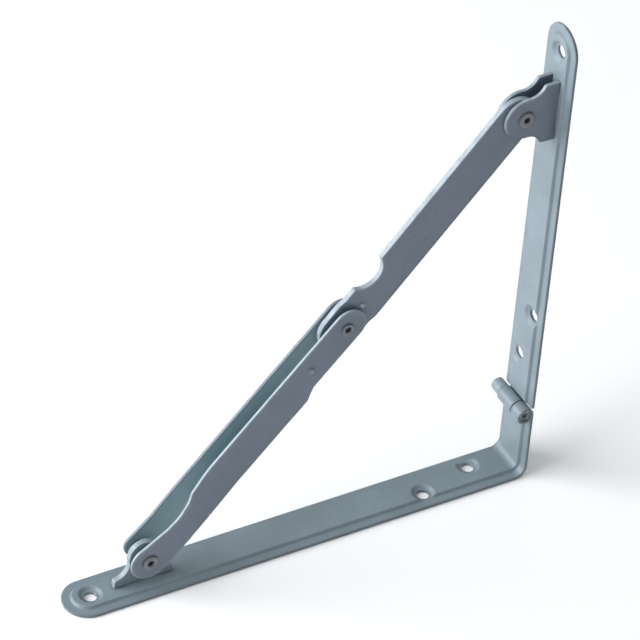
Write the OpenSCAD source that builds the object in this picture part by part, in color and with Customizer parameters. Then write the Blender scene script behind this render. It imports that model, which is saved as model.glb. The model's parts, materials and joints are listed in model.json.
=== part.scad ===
// Folding shelf bracket: two pressed sheet legs on a rolled hinge, held open by
// a two-piece folding brace. It is drawn open at a right angle, standing on the
// outer face of its shelf leg, with the wall leg upright at the +X end.

/* [Legs] */
// Length of the shelf leg, from the wall leg's outer face to its round end
shelf_leg_l = 200; // [160:1:280]
// Height of the wall leg's round end above the shelf leg's outer face
wall_leg_l = 218; // [180:1:300]
// Width of both legs
leg_w = 20.2; // [18:0.2:26]
// Thickness of the leg sheet
leg_t = 1.2; // [0.9:0.1:1.6]
// Width of the flat flange beside the raised panel
flange_w = 3.3; // [2.5:0.1:4.5]
// Height of the raised panel above the flanges
panel_h = 1.2; // [0.8:0.1:1.6]
// Run of the sloping step between flange and panel
panel_run = 0.9; // [0.5:0.1:1.5]
// Outer radius of the corner bend of the shelf leg
bend_r = 5.5; // [4:0.5:8]

/* [Screw holes] */
// Diameter of the screw holes
hole_d = 5; // [3.5:0.1:6]
// Radius of the round dimple about a hole, at the panel's top
dimple_r = 4.3; // [3.8:0.1:5]
// Radius of the flat floor of a dimple
dimple_floor_r = 3.4; // [3:0.1:4]
// Distance from a leg's round end to its end hole
end_hole_in = 11.5; // [9:0.5:16]
// Offset of the two corner holes to either side of the middle line
hole_stagger = 3.2; // [0:0.1:4]
// Distance from the wall leg's outer face to the first shelf hole
shelf_hole_in = 19.5; // [16:0.5:30]
// Height of the first wall hole above the hinge
wall_hole_in = 22.5; // [16:0.5:40]
// Distance between the two corner holes along a leg
hole_pitch = 24; // [16:0.5:36]

/* [Hinge] */
// Height of the hinge axis above the shelf leg's outer face
hinge_h = 33; // [28:0.5:44]
// Diameter of the hinge pin
hinge_pin_d = 4.8; // [4:0.1:5.4]
// Radial running clearance of the pin in its knuckles
pin_clear = 0.05; // [0.02:0.01:0.08]
// Length of the shelf leg's knuckle, at the near edge of the legs
near_knuckle_l = 6; // [4:0.1:7]
// Length of the wall leg's knuckle
wall_knuckle_l = 10.2; // [7:0.1:10.8]
// Side gap between the two knuckles
knuckle_gap = 0.3; // [0.2:0.05:0.6]
// Gap between a knuckle and the end of the other leg's sheet
knuckle_clear = 0.5; // [0.35:0.05:0.8]
// How far the pin stands out past the far edge of the legs
pin_out = 2.5; // [0.5:0.1:2.8]
// Diameter of the pin's head, which stands past the wall knuckle
pin_head_d = 5.8; // [5.5:0.1:6.2]
// Edge radius of that head
pin_head_edge = 0.8; // [0.4:0.1:1.2]
// Depth of the pin's near end inside its knuckle
pin_sunk = 0.8; // [0.4:0.1:1.5]
// Diameter of the hollow in the pin's near end
pin_hollow_d = 2.6; // [1.5:0.1:3]
// Depth of that hollow
pin_hollow_l = 3; // [1:0.5:4]

/* [Pivots] */
// Height of both brace pivots above the outer face of their leg
pivot_h = 15.6; // [14.5:0.1:17]
// Distance from the shelf leg's round end to its pivot
shelf_pivot_in = 33.5; // [28:0.5:45]
// Distance from the wall leg's round end to its pivot
wall_pivot_in = 36.5; // [30:0.5:48]
// Height of the middle pivot above the shelf leg's outer face when folded
folded_mid_h = 19; // [17:0.5:21]
// Diameter of the rivet shanks
rivet_d = 4; // [3:0.1:4.5]
// Diameter of the rolled heads of the two end rivets
rivet_head_d = 6.8; // [6:0.1:8]
// Diameter of the heads of the middle rivet
mid_head_d = 5; // [4.6:0.1:6.4]
// Height of a rivet head
rivet_head_h = 0.9; // [0.6:0.1:1.2]
// Diameter of the hollow in the end of a tubular rivet
rivet_hollow_d = 2.2; // [1.5:0.1:2.8]

/* [Shelf lug] */
// Thickness of the single lug plate on the shelf leg
lug_t = 2.5; // [1.5:0.1:3]
// Radius of the lug's round top about its pivot
lug_r = 6.3; // [5.5:0.1:6.5]
// Half length of the lug's foot
lug_foot = 12.5; // [10:0.5:15]
// Height of the straight side of the lug's foot above the panel
lug_foot_h = 3; // [2:0.5:4]

/* [Wall clevis] */
// Thickness of the clevis sheet
ear_t = 1.5; // [1:0.1:1.8]
// Clear width between the two ears
ear_gap = 4.2; // [3.8:0.1:4.6]
// Radius of the nose of an ear about its pivot
ear_r = 9; // [8:0.1:9.4]
// Half length of an ear's foot along the leg
ear_foot = 13.5; // [12:0.5:16]
// Height of the straight side of an ear's foot above the panel
ear_foot_h = 5.5; // [4:0.5:7]

/* [Lower link] */
// Thickness of the channel sheet
channel_t = 1.2; // [0.9:0.1:1.4]
// Outside width of the channel at its middle pivot
channel_w = 8.6; // [8:0.1:9.4]
// Side gap between the wide end's walls and the rivet heads that nest in it
nest_gap = 0.35; // [0.2:0.05:0.6]
// Distance from the shelf pivot to the end of the wide part, where the web begins
flare_at = 28; // [26:1:36]
// Length over which a wall steps from wide to narrow
flare_run = 18; // [10:1:24]
// Height of the walls' upper edge above the line of the pivots
channel_top = 7.2; // [6.6:0.1:7.6]
// Depth of the web's outer face below that line
channel_low = 10.1; // [9.8:0.1:10.6]
// Depth of the walls' lower edge past the web
wall_low = 7.4; // [7:0.1:7.8]
// Outer radius of the bends between web and walls
fold_r = 2; // [1.6:0.1:2.5]
// Radius of the near wall's end about the shelf pivot
near_end_r = 8; // [7:0.1:8.6]
// Radius of the far wall's end about the shelf pivot
far_end_r = 5.6; // [5:0.1:8.6]
// Distance from the shelf pivot to where the wall ends have swelled to full depth
swell_l = 12; // [10:0.5:14]
// Distance from the shelf pivot to the deepest point of the dip in the upper edge
dip_at = 20; // [18:0.5:22]
// Height of the upper edge at that point above the line of the pivots
dip_top = 3.9; // [3:0.1:5]
// Radius of the dip
dip_r = 26; // [20:1:30]
// How far the walls run past the middle pivot
channel_over = 8.6; // [8:0.1:10]
// Distance from the middle pivot to the far end of the web
web_from_m = 42; // [38:0.5:60]
// Distance from the middle pivot to where the walls step up to their shallower edge
step_from_m = 28; // [22:0.5:34]
// Run of that step
step_run = 1; // [0.5:0.1:3]

/* [Upper link] */
// Thickness of the upper link's flat bar
bar_t = 2.4; // [2:0.1:2.8]
// Height of the bar
bar_h = 18.4; // [16:0.1:19]
// Height of the bar's middle line above the wall pivot
bar_rise_b = 2.3; // [1.5:0.1:2.8]
// Depth of the bar's middle line below the middle pivot
bar_drop_m = 1.3; // [0.8:0.1:2]
// How far the bar's tail runs past the middle pivot
bar_tail = 12.2; // [10:0.1:13]
// How far the bar runs past the wall pivot
bar_over = 7; // [6:0.1:8]
// Side gap between the bar and the near ear, which the bar steps across to meet
bar_gap = 0.1; // [0.05:0.05:0.3]
// Distance from the middle pivot to that step
bar_step_at = 8.8; // [8.5:0.1:13]
// Run of that step
bar_step_run = 1.5; // [1:0.1:3]
// Distance from the middle pivot to the small stop nib on the bar's near face
nib_at = 10.4; // [10.2:0.1:13]
// Diameter of the nib
nib_d = 1.6; // [1:0.1:2]
// Height of the nib
nib_h = 0.9; // [0.5:0.1:1]
// Radius of the thumb notch in the bar's outer edge
notch_r = 8.2; // [7:0.1:9]
// Depth of the thumb notch
notch_depth = 5.6; // [4:0.1:6.5]
// Distance from the middle pivot to the middle of the notch
notch_at = 22.3; // [20:0.1:26]

/* [Stud] */
// Diameter of the small stud head in the near channel wall
stud_head_d = 3.2; // [2.4:0.1:4]
// Diameter of the stud's shank
stud_d = 2; // [1.5:0.1:2.2]
// Distance from the middle pivot to the stud
stud_at = 21.5; // [20:0.1:26]

/* [Hidden] */
$fn = 64;

// Small overlap that keeps cuts clean
eps = 0.02;
// Clearance of a fixed tab or shank in its slot or hole
fit = 0.05;
// Half widths and heights of the pressed section
half_w = leg_w / 2;
panel_foot = half_w - flange_w;
panel_top = panel_foot - panel_run;
skin = leg_t + panel_h;
// Radial thickness of the step's wall, seen from above
step_wall = 0.75 * leg_t;

// The row's origin is under the middle of the shelf leg
corner_x = shelf_leg_l / 2;
knuckle_r = hinge_pin_d / 2 + pin_clear + leg_t;
hinge_x = corner_x - knuckle_r;
split_y = -half_w + near_knuckle_l;
sheet_gap = knuckle_r + knuckle_clear;

// Pivots of the brace in the X-Z plane: a on the shelf leg, b on the wall leg
a = [corner_x - shelf_leg_l + shelf_pivot_in, pivot_h];
b = [corner_x - pivot_h, wall_leg_l - wall_pivot_in];
h = [hinge_x, hinge_h];
// Where b comes to rest when the wall leg has turned a right angle about h
b_folded = [h[0] - (b[1] - h[1]), h[1] + (b[0] - h[0])];
brace_l = norm(b - a);

// The open brace is straight, so both link lengths add up to brace_l. The folded
// middle pivot lies at folded_mid_h where the two lengths still add up to it.
function reach(x) = norm([x, folded_mid_h] - a) + norm([x, folded_mid_h] - b_folded);
function folded_x(low, high, steps) =
    steps == 0 ? (low + high) / 2 :
    reach((low + high) / 2) < brace_l
        ? folded_x((low + high) / 2, high, steps - 1)
        : folded_x(low, (low + high) / 2, steps - 1);
mid_folded = [folded_x(b_folded[0], corner_x, 40), folded_mid_h];
lower_l = norm(mid_folded - a);
upper_l = brace_l - lower_l;
brace_angle = atan2(b[1] - a[1], b[0] - a[0]);

// The bar lies a little askew to the line of its pivots
bar_tilt = asin((bar_rise_b + bar_drop_m) / upper_l);
bar_l = upper_l * cos(bar_tilt);
bar_step = (ear_gap - bar_t) / 2 - bar_gap;

narrow_y = channel_w / 2;
ear_y = ear_gap / 2 + ear_t;
wide_y = ear_y + fit + rivet_head_h + nest_gap + channel_t;
web_end = lower_l - web_from_m;
step_at = lower_l - step_from_m;
tab_l = 5;

// Section of a pressed leg, open underneath: X is across, Y is up from the outer face
module section() {
    polygon([
        [-half_w, 0], [-half_w, leg_t], [-panel_foot, leg_t], [-panel_top, skin],
        [panel_top, skin], [panel_foot, leg_t], [half_w, leg_t], [half_w, 0],
        [panel_foot - step_wall, 0], [panel_top - step_wall, panel_h],
        [step_wall - panel_top, panel_h], [step_wall - panel_foot, 0]]);
}

// The same section without its hollow
module full_section() {
    polygon([
        [-half_w, 0], [-half_w, leg_t], [-panel_foot, leg_t], [-panel_top, skin],
        [panel_top, skin], [panel_foot, leg_t], [half_w, leg_t], [half_w, 0]]);
}

// Half of the section, for the round end
module half_section() {
    intersection() {
        section();
        square([leg_w, leg_w]);
    }
}

// A leg lies along +X from x0 to its round end at x1, outer face down
module pressed_strip(x0, x1) {
    translate([x0, 0, 0]) rotate([90, 0, 90])
        linear_extrude(x1 - half_w - x0) section();
    translate([x1 - half_w, 0, 0]) rotate([0, 0, -90])
        rotate_extrude(angle = 180) half_section();
}

// Solid under a dimple, kept within the pressed outline
module dimple_base(x, y) {
    intersection() {
        translate([x, y, 0]) cylinder(r = dimple_r + step_wall, h = skin);
        translate([x - leg_w, 0, 0]) rotate([90, 0, 90])
            linear_extrude(2 * leg_w) full_section();
    }
}

// Dimple and screw hole, cut from the panel's side
module screw_hole(x, y) {
    translate([x, y, -eps]) cylinder(d = hole_d, h = skin + 2 * eps);
    translate([x, y, leg_t])
        cylinder(r1 = dimple_floor_r, r2 = dimple_r, h = panel_h);
    translate([x, y, skin - eps]) cylinder(r = dimple_r, h = 1);
}

// Slots that take the tabs of a lug or an ear, along the strip and in line with it
module tab_slots(x, reach_l, y, thick) {
    for (side = [-1, 1])
        translate([x + side * (reach_l - tab_l / 2), y, skin - leg_t / 2])
            cube([tab_l + 2 * fit, thick + 2 * fit, leg_t + 4 * eps], center = true);
}

// A flat leg with its three holes; first is the distance of the first corner hole
module drilled_strip(x0, x1, first) {
    holes = [[x1 - end_hole_in, 0], [first + hole_pitch, -hole_stagger],
             [first, hole_stagger]];
    difference() {
        union() {
            pressed_strip(x0, x1);
            for (p = holes) dimple_base(p[0], p[1]);
        }
        for (p = holes) screw_hole(p[0], p[1]);
    }
}

// Puts a leg drawn along +X under the shelf, running to -X from the corner
module on_shelf() {
    translate([corner_x, 0, 0]) mirror([1, 0, 0]) children();
}

// Puts a leg drawn along +X on the wall, running up, outer face to +X
module on_wall() {
    translate([corner_x, 0, 0]) rotate([0, -90, 0]) children();
}

// Rolled knuckle about the hinge axis, from y0 along +Y
module knuckle(y0, l) {
    translate([hinge_x, y0, hinge_h]) rotate([-90, 0, 0])
        difference() {
            cylinder(r = knuckle_r, h = l);
            translate([0, 0, -eps])
                cylinder(r = hinge_pin_d / 2 + pin_clear, h = l + 2 * eps);
        }
}

// Thin slit that leaves the rolled lip free of the sheet; side is -1 below, 1 above
module lip_slit(y0, l, side) {
    translate([corner_x - leg_t - 0.25, y0 - eps, hinge_h + (side > 0 ? 0 : -knuckle_r - 1)])
        cube([0.25, l + 2 * eps, knuckle_r + 1]);
}

module shelf_leg() {
    color([0.60, 0.67, 0.70]) {
        difference() {
            union() {
                on_shelf() drilled_strip(bend_r, shelf_leg_l, shelf_hole_in);
                // Corner bend
                translate([corner_x - bend_r, 0, bend_r]) rotate([90, 0, 0])
                    rotate_extrude_corner();
                // Upturned end, pressed up to the knuckles
                on_wall() translate([bend_r, 0, 0]) rotate([90, 0, 90])
                    linear_extrude(hinge_h - sheet_gap - bend_r) section();
                // Flat neck of the near knuckle
                translate([corner_x - leg_t, -half_w, hinge_h - sheet_gap - eps])
                    cube([leg_t, near_knuckle_l, sheet_gap + eps]);
                knuckle(-half_w, near_knuckle_l);
            }
            on_shelf() tab_slots(shelf_leg_l - shelf_pivot_in, lug_foot, 0, lug_t);
            lip_slit(-half_w, near_knuckle_l, -1);
            translate([hinge_x, -half_w - eps, hinge_h]) rotate([-90, 0, 0])
                cylinder(r = hinge_pin_d / 2 + pin_clear, h = near_knuckle_l + 2 * eps);
        }
    }
}

// The pressed section turned through the corner, its outer face outside
module rotate_extrude_corner() {
    rotate([0, 0, -90]) rotate_extrude(angle = 90)
        translate([bend_r, 0]) rotate(90) section();
}

module wall_leg() {
    color([0.62, 0.70, 0.73]) {
        difference() {
            union() {
                on_wall() drilled_strip(hinge_h + sheet_gap, wall_leg_l,
                                        hinge_h + wall_hole_in);
                // Flat neck of the wall knuckle
                translate([corner_x - leg_t, split_y + knuckle_gap, hinge_h])
                    cube([leg_t, wall_knuckle_l, sheet_gap + eps]);
                knuckle(split_y + knuckle_gap, wall_knuckle_l);
            }
            for (side = [-1, 1])
                on_wall() tab_slots(b[1], ear_foot, side * (ear_gap + ear_t) / 2, ear_t);
            lip_slit(split_y + knuckle_gap, wall_knuckle_l, 1);
            translate([hinge_x, split_y + knuckle_gap - eps, hinge_h]) rotate([-90, 0, 0])
                cylinder(r = hinge_pin_d / 2 + pin_clear, h = wall_knuckle_l + 2 * eps);
        }
    }
}

// Turned in one piece: the profile runs from the hollow's floor out round the near
// end, along the shank and over the head
module hinge_pin() {
    near = -half_w + pin_sunk;
    head = split_y + wall_knuckle_l + 2 * knuckle_gap;
    far = half_w + pin_out;
    edge = [far - pin_head_edge, pin_head_d / 2 - pin_head_edge];
    profile = concat(
        [[near + pin_hollow_l, 0], [near + pin_hollow_l, pin_hollow_d / 2],
         [near, pin_hollow_d / 2], [near, hinge_pin_d / 2], [head, hinge_pin_d / 2],
         [head, pin_head_d / 2]],
        [for (i = [0:4]) edge + pin_head_edge * [sin(i * 22.5), cos(i * 22.5)]],
        [[far, 0]]);
    color([0.55, 0.60, 0.63])
        translate([hinge_x, 0, hinge_h]) rotate([-90, 0, 0])
            rotate_extrude() polygon([for (p = profile) [p[1], p[0]]]);
}

// Side outline of a foot with a round top: X along the leg, Y up from the panel
module footed_outline(r, up, foot, foot_h, blend) {
    difference() {
        union() {
            translate([0, up]) circle(r = r);
            polygon([[-foot, 0], [-foot, foot_h], [-r, up], [r, up], [foot, foot_h], [foot, 0]]);
        }
        // Concave sides that sweep out to the foot
        for (side = [-1, 1])
            translate([side * (r + blend), foot_h + blend + 0.4]) circle(r = blend);
    }
}

module shelf_lug() {
    color([0.50, 0.56, 0.61])
        difference() {
            translate([a[0], lug_t / 2, skin]) rotate([90, 0, 0]) linear_extrude(lug_t)
                footed_outline(lug_r, pivot_h - skin, lug_foot, lug_foot_h, 7);
            pivot_bore(a);
        }
    color([0.50, 0.56, 0.61])
        for (side = [-1, 1])
            translate([a[0] + side * (lug_foot - tab_l / 2), 0, skin - leg_t / 2])
                cube([tab_l, lug_t, leg_t + eps], center = true);
}

module pivot_bore(p) {
    translate([p[0], -leg_w, p[1]]) rotate([-90, 0, 0])
        cylinder(d = rivet_d + 2 * pin_clear, h = 2 * leg_w);
}

module wall_clevis() {
    color([0.46, 0.49, 0.54]) {
        difference() {
            for (side = [-1, 1])
                on_wall() translate([b[1], side * (ear_gap + ear_t) / 2 + ear_t / 2, skin])
                    rotate([90, 0, 0]) linear_extrude(ear_t)
                        footed_outline(ear_r, pivot_h - skin, ear_foot, ear_foot_h, 6);
            pivot_bore(b);
        }
        // Base strap between the ears
        on_wall() translate([b[1] - ear_foot, -ear_gap / 2 - eps, skin])
            cube([2 * ear_foot, ear_gap + 2 * eps, ear_t]);
        for (across = [-1, 1], along = [-1, 1])
            on_wall() translate([b[1] + along * (ear_foot - tab_l / 2),
                                 across * (ear_gap + ear_t) / 2, skin - leg_t / 2])
                cube([tab_l, ear_t, leg_t + eps], center = true);
    }
}

// Frame of the brace: origin at pivot a, X along the open brace, Z outwards
module in_brace(x) {
    translate([a[0], 0, a[1]]) rotate([0, -brace_angle, 0]) translate([x, 0, 0]) children();
}

// Side view of a channel wall: X along the brace, Y outwards, origin at pivot a
module wall_outline(end_r) {
    round_r = (channel_top + wall_low) / 2;
    round_at = lower_l + channel_over - round_r;
    difference() {
        union() {
            circle(r = end_r);
            // Swell from the round end into the lower edge and the dip
            polygon([
                0.98 * end_r * [cos(75), sin(75)], [swell_l, dip_top + (swell_l - dip_at) ^ 2 / 2 / dip_r],
                [swell_l, -channel_low], 0.98 * end_r * [cos(-100), sin(-100)], [0, 0]]);
            translate([swell_l - eps, -channel_low])
                square([step_at - swell_l, channel_low + channel_top]);
            // The walls step up to a shallower edge past the web
            polygon([
                [step_at - 2 * eps, channel_top], [step_at - 2 * eps, -channel_low],
                [step_at + step_run, -wall_low], [round_at, -wall_low], [round_at, channel_top]]);
            translate([round_at, channel_top - round_r]) circle(r = round_r);
        }
        translate([dip_at, dip_top + dip_r]) circle(r = dip_r);
    }
}

// Plan of the wall on one side: X along, Y across
module wall_plan(side) {
    far = lower_l + channel_over + 1;
    polygon([
        [-near_end_r - 1, side * wide_y], [flare_at, side * wide_y],
        [flare_at + flare_run, side * narrow_y], [far, side * narrow_y],
        [far, side * (narrow_y - channel_t)],
        [flare_at + flare_run, side * (narrow_y - channel_t)],
        [flare_at, side * (wide_y - channel_t)],
        [-near_end_r - 1, side * (wide_y - channel_t)]]);
}

// Plan of the web, from wall to wall
module web_plan() {
    polygon([
        [flare_at, wide_y - eps], [flare_at + flare_run, narrow_y - eps],
        [web_end, narrow_y - eps], [web_end, eps - narrow_y],
        [flare_at + flare_run, eps - narrow_y], [flare_at, eps - wide_y]]);
}

// What lies outside a rounded corner, run along both bends of the channel; inset
// is 0 for their outer faces and the sheet's thickness for their inner faces
module bend_corners(inset) {
    line = [[flare_at, wide_y], [flare_at + flare_run, narrow_y], [web_end, narrow_y]];
    r = fold_r - inset;
    corner = concat(
        [[-r - 0.2, -eps], [eps, -eps], [eps, r + 0.2]],
        [for (i = [1:5]) [-r + r * cos(i * 15), r - r * sin(i * 15)]]);
    for (side = [-1, 1], i = [0, 1]) {
        run = line[i + 1] - line[i];
        lap = i > 0 ? 0.1 : 0;
        translate([line[i][0], side * (line[i][1] - inset), inset - channel_low])
            rotate([0, 0, side * atan2(run[1], run[0])]) translate([-lap, 0, 0])
                rotate([90, 0, 90]) linear_extrude(norm(run) + lap)
                    polygon([for (p = corner) [side * p[0], p[1]]]);
    }
}

module lower_link() {
    color([0.45, 0.52, 0.57])
        difference() {
            union() {
                for (side = [-1, 1])
                    in_brace(0) intersection() {
                        translate([0, wide_y + 1, 0]) rotate([90, 0, 0])
                            linear_extrude(2 * wide_y + 2)
                                wall_outline(side < 0 ? near_end_r : far_end_r);
                        translate([0, 0, -leg_w]) linear_extrude(2 * leg_w) wall_plan(side);
                    }
                in_brace(0) translate([0, 0, -channel_low]) linear_extrude(channel_t) web_plan();
                in_brace(0) bend_corners(channel_t);
            }
            in_brace(0) bend_corners(0);
            in_brace(0) cross_bore(rivet_d + 2 * fit);
            in_brace(lower_l) cross_bore(rivet_d + 2 * fit);
            in_brace(lower_l - stud_at) translate([0, -leg_w, 0]) rotate([-90, 0, 0])
                cylinder(d = stud_d + 2 * fit, h = leg_w);
        }
}

// Bore across the brace, through everything
module cross_bore(d) {
    translate([0, -leg_w, 0]) rotate([-90, 0, 0]) cylinder(d = d, h = 2 * leg_w);
}

// Side view of the bar: X from the middle pivot towards the wall pivot, Y outwards
module bar_outline() {
    low = -bar_h / 2 - bar_drop_m;
    tail_x = bar_h / 2 - bar_tail;
    end_x = bar_l + bar_over - bar_h / 2;
    difference() {
        union() {
            translate([tail_x, low]) square([end_x - tail_x, bar_h]);
            translate([tail_x, -bar_drop_m]) circle(d = bar_h);
            translate([end_x, -bar_drop_m]) circle(d = bar_h);
        }
        translate([notch_at, bar_h / 2 - bar_drop_m + notch_r - notch_depth])
            circle(r = notch_r);
    }
}

// Plan of the bar, stepped sideways past the channel's end
module bar_plan() {
    near = -bar_tail - 1;
    far = bar_l + bar_over + 1;
    half = bar_t / 2;
    polygon([
        [near, -half], [bar_step_at, -half], [bar_step_at + bar_step_run, -half - bar_step],
        [far, -half - bar_step], [far, half - bar_step],
        [bar_step_at + bar_step_run, half - bar_step], [bar_step_at, half], [near, half]]);
}

module upper_link() {
    near_face = -bar_t / 2 - bar_step;
    color([0.42, 0.45, 0.50])
        difference() {
            union() {
                in_brace(lower_l) rotate([0, -bar_tilt, 0]) intersection() {
                    translate([0, leg_w / 2, 0]) rotate([90, 0, 0])
                        linear_extrude(leg_w) bar_outline();
                    translate([0, 0, -leg_w]) linear_extrude(2 * leg_w) bar_plan();
                }
                in_brace(lower_l + nib_at) translate([0, near_face - nib_h, 0])
                    rotate([-90, 0, 0]) cylinder(d = nib_d, h = nib_h + bar_t / 2, $fn = 24);
            }
            in_brace(lower_l) cross_bore(rivet_d + 2 * pin_clear);
            in_brace(brace_l) cross_bore(rivet_d + 2 * pin_clear);
        }
}

// Rolled head of a tubular rivet, standing on the plane z = 0
module rolled_head(d) {
    rim = (d - rivet_hollow_d) / 4;
    rotate_extrude()
        union() {
            translate([rivet_hollow_d / 2, 0]) square([d / 2 - rivet_hollow_d / 2, rivet_head_h / 2]);
            translate([rivet_hollow_d / 2 + rim, rivet_head_h / 2])
                scale_ring(rim, rivet_head_h / 2);
        }
}

// Half ellipse as a polygon, for the crown of a rolled head
module scale_ring(rx, ry) {
    polygon([for (i = [0:12]) [rx * cos(i * 15), ry * sin(i * 15)]]);
}

// Tubular rivet across the brace with a head beyond each side face
module tube_rivet(side_y, head_d) {
    half = side_y + fit;
    difference() {
        translate([0, -half, 0]) rotate([-90, 0, 0]) cylinder(d = rivet_d, h = 2 * half);
        for (side = [-1, 1])
            translate([0, side * (half + eps), 0]) rotate([side * 90, 0, 0])
                cylinder(d = rivet_hollow_d, h = 3);
    }
    for (side = [-1, 1])
        translate([0, side * half, 0]) rotate([-side * 90, 0, 0]) rolled_head(head_d);
}

module shelf_pivot_rivet() {
    color([0.55, 0.57, 0.60]) in_brace(0) tube_rivet(wide_y, rivet_head_d);
}

module wall_pivot_rivet() {
    color([0.55, 0.57, 0.60]) in_brace(brace_l) tube_rivet(ear_y, rivet_head_d);
}

// The middle rivet's two headed stubs, one in each wall of the channel
module middle_rivet() {
    half = narrow_y + fit;
    stub = channel_t + 3 * fit;
    color([0.55, 0.57, 0.60]) in_brace(lower_l)
        for (side = [-1, 1]) {
            translate([0, side * half, 0]) rotate([-side * 90, 0, 0]) rolled_head(mid_head_d);
            difference() {
                translate([0, side * half, 0]) rotate([side * 90, 0, 0])
                    cylinder(d = rivet_d, h = stub);
                translate([0, side * (half + eps), 0]) rotate([side * 90, 0, 0])
                    cylinder(d = rivet_hollow_d, h = stub / 2);
            }
        }
}

module stop_stud() {
    color([0.60, 0.62, 0.66]) in_brace(lower_l - stud_at)
        translate([0, -narrow_y - fit, 0]) rotate([-90, 0, 0]) {
            cylinder(d = stud_d, h = channel_t + 2 * fit);
            rotate([180, 0, 0]) intersection() {
                translate([0, 0, -stud_head_d / 2]) sphere(r = stud_head_d / 1.35);
                cylinder(d = stud_head_d, h = 1);
            }
        }
}

shelf_leg();
wall_leg();
hinge_pin();
shelf_lug();
wall_clevis();
lower_link();
upper_link();
shelf_pivot_rivet();
wall_pivot_rivet();
middle_rivet();
stop_stud();
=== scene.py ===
# %% [markdown]
# A folding shelf bracket in grey enamel.
#
# The bracket is two pressed steel legs that share a rolled hinge, and a brace of
# two links that locks straight and holds the legs square. Nearly every piece is
# sheet metal, so this lesson makes them the way a press shop does: cut a flat
# blank, press its relief, then bend it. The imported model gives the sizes, places
# and joints, and each piece made here stands for one piece of it.

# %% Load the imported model
import json
import math

import bmesh
import bpy
import numpy as np
from mathutils import Matrix, Vector
from mathutils.geometry import delaunay_2d_cdt


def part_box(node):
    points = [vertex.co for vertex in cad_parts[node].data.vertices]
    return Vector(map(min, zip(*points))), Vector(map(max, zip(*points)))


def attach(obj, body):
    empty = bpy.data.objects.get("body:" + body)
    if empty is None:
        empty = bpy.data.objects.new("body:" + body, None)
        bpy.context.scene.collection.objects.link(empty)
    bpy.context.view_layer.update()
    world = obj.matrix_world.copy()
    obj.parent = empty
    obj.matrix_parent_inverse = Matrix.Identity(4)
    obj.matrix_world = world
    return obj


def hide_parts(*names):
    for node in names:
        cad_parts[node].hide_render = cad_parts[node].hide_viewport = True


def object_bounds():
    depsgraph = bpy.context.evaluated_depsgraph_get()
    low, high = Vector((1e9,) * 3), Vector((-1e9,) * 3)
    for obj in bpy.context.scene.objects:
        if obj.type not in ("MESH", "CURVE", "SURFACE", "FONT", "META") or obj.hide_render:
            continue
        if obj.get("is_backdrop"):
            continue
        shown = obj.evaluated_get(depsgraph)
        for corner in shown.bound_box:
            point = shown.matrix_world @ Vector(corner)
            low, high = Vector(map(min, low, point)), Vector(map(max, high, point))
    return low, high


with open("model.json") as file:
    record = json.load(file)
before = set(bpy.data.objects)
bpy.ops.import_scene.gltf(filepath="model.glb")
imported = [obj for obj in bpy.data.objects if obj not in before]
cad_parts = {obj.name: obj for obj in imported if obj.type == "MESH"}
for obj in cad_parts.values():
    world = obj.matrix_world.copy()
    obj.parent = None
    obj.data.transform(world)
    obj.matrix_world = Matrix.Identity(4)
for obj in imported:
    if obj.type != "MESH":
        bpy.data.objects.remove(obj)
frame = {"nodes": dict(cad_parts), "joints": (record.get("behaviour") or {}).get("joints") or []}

MM = 0.001
cad_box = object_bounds()
print("packed box in mm", [round(c / MM, 1) for corner in cad_box for c in corner])


# %% [markdown]
# The pivots come from the model's own joints, so nothing is placed by eye. The
# brace lies in the X-Z plane, from pivot a on the shelf leg to pivot b on the
# wall leg, and its middle pivot lies on the line between them.

# %% Pivots and overall sizes
def box_mm(node):
    """The two corners of a node's box, in mm."""
    low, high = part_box(node)
    return np.array(low) / MM, np.array(high) / MM


def axis_at(node):
    """Where the axis of a round node crosses the X-Z plane."""
    low, high = box_mm(node)
    return ((low + high) / 2)[[0, 2]]


joint_at = {j["name"]: np.array(j["pos_m"])[[0, 2]] / MM for j in frame["joints"]}
hinge, pivot_a, pivot_b = (joint_at[name] for name in ("fold", "channel_swing", "bar_swing"))
pivot_m = axis_at("middle_rivet")
along = (pivot_b - pivot_a) / np.linalg.norm(pivot_b - pivot_a)
outward = np.array([-along[1], along[0]])
lower_l = np.linalg.norm(pivot_m - pivot_a)
upper_l = np.linalg.norm(pivot_b - pivot_m)

shelf_low, shelf_high = box_mm("shelf_leg")
end_x, corner_x = shelf_low[0], shelf_high[0]
half_w = shelf_high[1]
top_z = box_mm("wall_leg")[1][2]
print("links", round(lower_l, 1), round(upper_l, 1), "legs", corner_x - end_x, top_z)


# %% [markdown]
# A blank is a flat shape with holes. Its mesh needs clean edges, rows of points
# that follow the edges, where the shear has rounded them, and an even grid
# between, so that the pressed relief and the bends come out smooth. A subdivided
# cube could not give holes with round edges, and a boolean leaves long thin
# faces. A Delaunay triangulation of chosen points gives all of it at once.

# %% Loops of points
hole_step = 0.3


def arc(centre, radius, start, end, step=0.4):
    """Points on an arc, in degrees, from start to end."""
    count = max(3, int(abs(math.radians(end - start)) * radius / step))
    angles = np.radians(np.linspace(start, end, count + 1))
    return np.array(centre) + radius * np.column_stack([np.cos(angles), np.sin(angles)])


def evenly(loop, step):
    """The same closed loop with its points an even step apart."""
    closed = np.vstack([loop, loop[:1]])
    lengths = np.linalg.norm(np.diff(closed, axis=0), axis=1)
    run = np.concatenate([[0], np.cumsum(lengths)])
    places = np.linspace(0, run[-1], max(8, int(run[-1] / step)), endpoint=False)
    return np.column_stack([np.interp(places, run, closed[:, k]) for k in (0, 1)])


def softened(loop, times):
    """Rounds a loop's corners a little, as the shear and the paint do."""
    for _ in range(times):
        loop = loop / 2 + (np.roll(loop, 1, axis=0) + np.roll(loop, -1, axis=0)) / 4
    return loop


def area(loop):
    """The area inside a loop, positive where the loop runs anticlockwise."""
    x, y = loop.T
    return (x @ np.roll(y, -1) - y @ np.roll(x, -1)) / 2


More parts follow.
